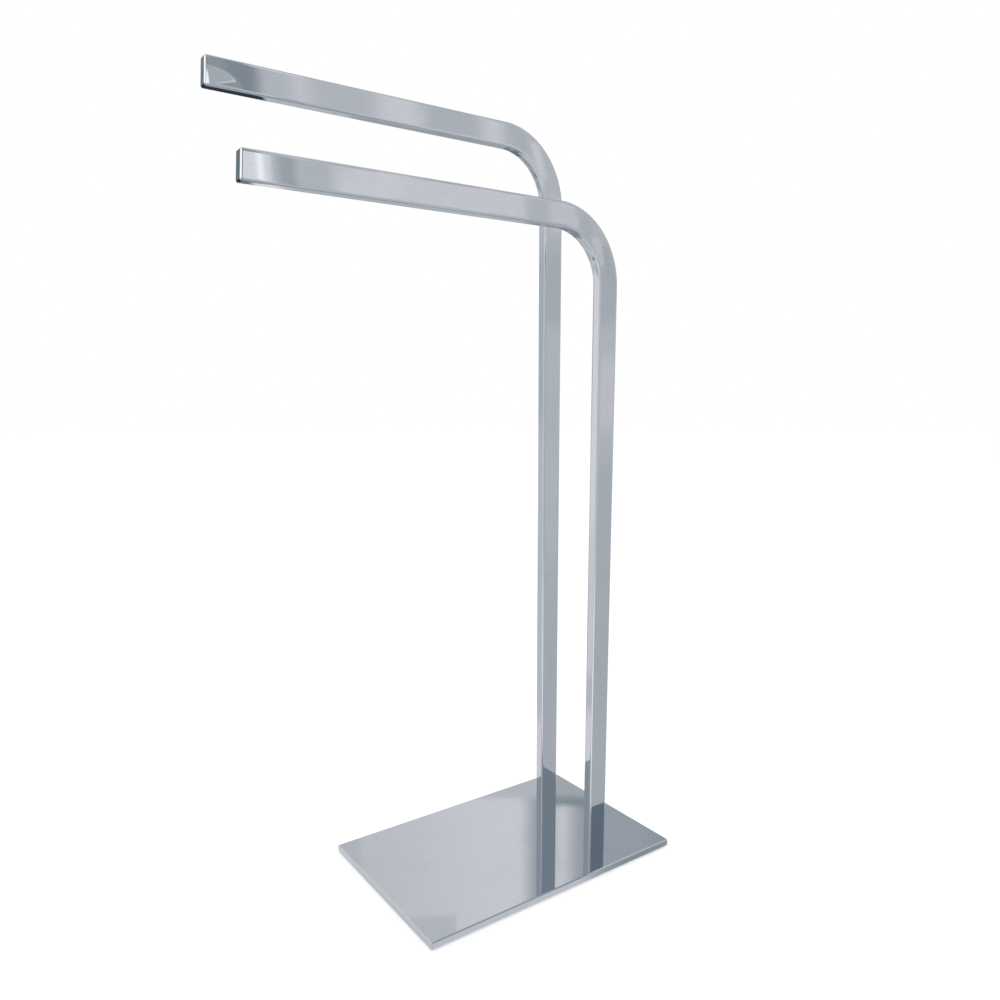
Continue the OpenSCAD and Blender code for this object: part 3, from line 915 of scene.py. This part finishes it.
def studio_world():
    """White studio. Metal sees it with the boards and the window that stand round the stand."""
    world = bpy.data.worlds.new("studio")
    bpy.context.scene.world = world
    world.use_nodes = True
    # Only reflections see the boards and all other light is even, so the world needs no light map
    world.cycles.sampling_method = "NONE"
    tree = world.node_tree
    background = tree.nodes["Background"]
    direction = tree.nodes.new("ShaderNodeTexCoord").outputs["Generated"]
    parts = tree.nodes.new("ShaderNodeSeparateXYZ")
    tree.links.new(direction, parts.inputs[0])
    turn = math_node(tree, "ARCTAN2", parts.outputs["X"], parts.outputs["Y"])
    azimuth = math_node(tree, "DEGREES", turn)
    elevation = math_node(tree, "DEGREES", math_node(tree, "ARCSINE", parts.outputs["Z"]))
    board = soft_board_group()
    colour = None
    for _, across, up, half_width, half_height, soft, level, tint in SURROUNDINGS:
        node = use_group(
            tree, board, Azimuth=azimuth, Elevation=elevation, Across=across, Up=up, Half_width=half_width,
            Half_height=half_height, Soft=soft, Board=slate(level, tint),
        )
        if colour is not None:
            tree.links.new(colour, node.inputs["Behind"])
        colour = node.outputs["Colour"]
    mirrored = tree.nodes.new("ShaderNodeLightPath").outputs["Is Glossy Ray"]
    tree.links.new(mix_colours(tree, mirrored, (1.0, 1.0, 1.0), colour), background.inputs["Color"])
    strength = map_range(tree, shown_share(tree), 0.0, 1.0, LIGHT_LEVEL, 1.0, smooth=False)
    tree.links.new(strength, background.inputs["Strength"])


def studio_floor():
    """Pale floor that is white to the camera and keeps the stand's soft shadow."""
    bm = bmesh.new()
    bmesh.ops.create_circle(bm, cap_ends=True, segments=FLOOR_SIDES, radius=FLOOR_R)
    mesh = bpy.data.meshes.new("studio_floor")
    bm.to_mesh(mesh)
    bm.free()
    floor = bpy.data.objects.new("studio_floor", mesh)
    bpy.context.scene.collection.objects.link(floor)
    floor.visible_glossy = False
    material = bpy.data.materials.new("floor_paper")
    material.use_nodes = True
    tree = material.node_tree
    tree.nodes.remove(tree.nodes["Principled BSDF"])
    paper = add(tree, "ShaderNodeBsdfDiffuse", Color=(FLOOR_PAPER, FLOOR_PAPER, FLOOR_PAPER, 1.0))
    glow = add(tree, "ShaderNodeEmission", Color=(1.0, 1.0, 1.0, 1.0))
    tree.links.new(math_node(tree, "MULTIPLY", shown_share(tree), FLOOR_GLOW), glow.inputs["Strength"])
    both = tree.nodes.new("ShaderNodeAddShader")
    tree.links.new(paper.outputs[0], both.inputs[0])
    tree.links.new(glow.outputs[0], both.inputs[1])
    under = tree.nodes.new("ShaderNodeMixShader")
    clear = tree.nodes.new("ShaderNodeBsdfTransparent")
    tree.links.new(tree.nodes.new("ShaderNodeNewGeometry").outputs["Backfacing"], under.inputs[0])
    tree.links.new(both.outputs[0], under.inputs[1])
    tree.links.new(clear.outputs[0], under.inputs[2])
    tree.links.new(under.outputs[0], tree.nodes["Material Output"].inputs["Surface"])
    mesh.materials.append(material)


def soft_lamp(name, place, target, size, power):
    """Square soft box that points at a target."""
    light = bpy.data.lights.new(name, "AREA")
    light.shape = "SQUARE"
    light.size = size
    light.energy = power
    lamp = bpy.data.objects.new(name, light)
    bpy.context.scene.collection.objects.link(lamp)
    lamp.location = place
    lamp.rotation_euler = (Vector(target) - Vector(place)).to_track_quat("-Z", "Y").to_euler()
    lamp.visible_glossy = False
    lamp.visible_camera = False


def photo_camera():
    """Camera at the photograph's place, angle and framing."""
    data = bpy.data.cameras.new("photo_camera")
    data.sensor_width = SENSOR_MM
    data.lens = FOCAL_PX / FRAME_PX * SENSOR_MM
    data.shift_y = CENTRE_DROP_PX / FRAME_PX
    data.clip_start = NEAREST_SEEN
    data.clip_end = FARTHEST_SEEN
    camera = bpy.data.objects.new("photo_camera", data)
    bpy.context.scene.collection.objects.link(camera)
    turn = Matrix.Rotation(math.radians(-VIEW_AZIMUTH), 4, "Z")
    tilt = Matrix.Rotation(math.radians(90.0 - VIEW_DROP), 4, "X")
    roll = Matrix.Rotation(math.radians(VIEW_ROLL), 4, "Z")
    camera.matrix_world = Matrix.Translation(CAMERA_PLACE) @ turn @ tilt @ roll
    bpy.context.scene.camera = camera


def dress(node, material):
    """Gives a CAD node that stays its material."""
    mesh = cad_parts[node].data
    mesh.materials.clear()
    mesh.materials.append(material)


groups = {
    "polish_waves": polish_waves_group(),
    "hand_marks": hand_marks_group(),
    "edge_wear": edge_wear_group(),
    "polish_grain": polish_grain_group(),
}
tube_finish = chrome("tube_chrome", groups, drawn=True)
plate_finish = chrome("plate_chrome", groups, long_waves=5.0)
cap_finish = chrome("cap_chrome", groups)
block_finish = drawn_steel(
    "block_steel", groups, BLOCK_STEEL, polish=0.38, grain_scale=900.0, grain_stretch=(1.0, 1.0, 0.08)
)
screw_finish = drawn_steel(
    "screw_steel", groups, SCREW_STEEL, polish=0.3, grain_scale=1500.0, grain_stretch=(1.0, 1.0, 1.0)
)
pad_finish = pad_rubber("pad_rubber", groups)

base_plate(plate_finish)
for tier in ("tall", "short"):
    bent_tube(f"{tier}_bent_tube", f"{tier}_tube", tier, tube_finish)
    end_cap(f"{tier}_tip_cap", f"{tier}_end_cap", tier, cap_finish)
    dress(f"{tier}_foot_block", block_finish)
    post_screws(f"{tier}_screw_pair", f"{tier}_post_screws", screw_finish)
for corner in ("front_left", "front_right", "rear_left", "rear_right"):
    floor_pad(f"rubber_pad_{corner}", f"pad_{corner}", pad_finish)

studio_floor()
studio_world()
soft_lamp("key_box", place=(-1.6, -1.8, 2.6), target=(0.0, 0.0, 0.4), size=2.2, power=30.0)
photo_camera()
bpy.context.scene.view_settings.view_transform = "Standard"
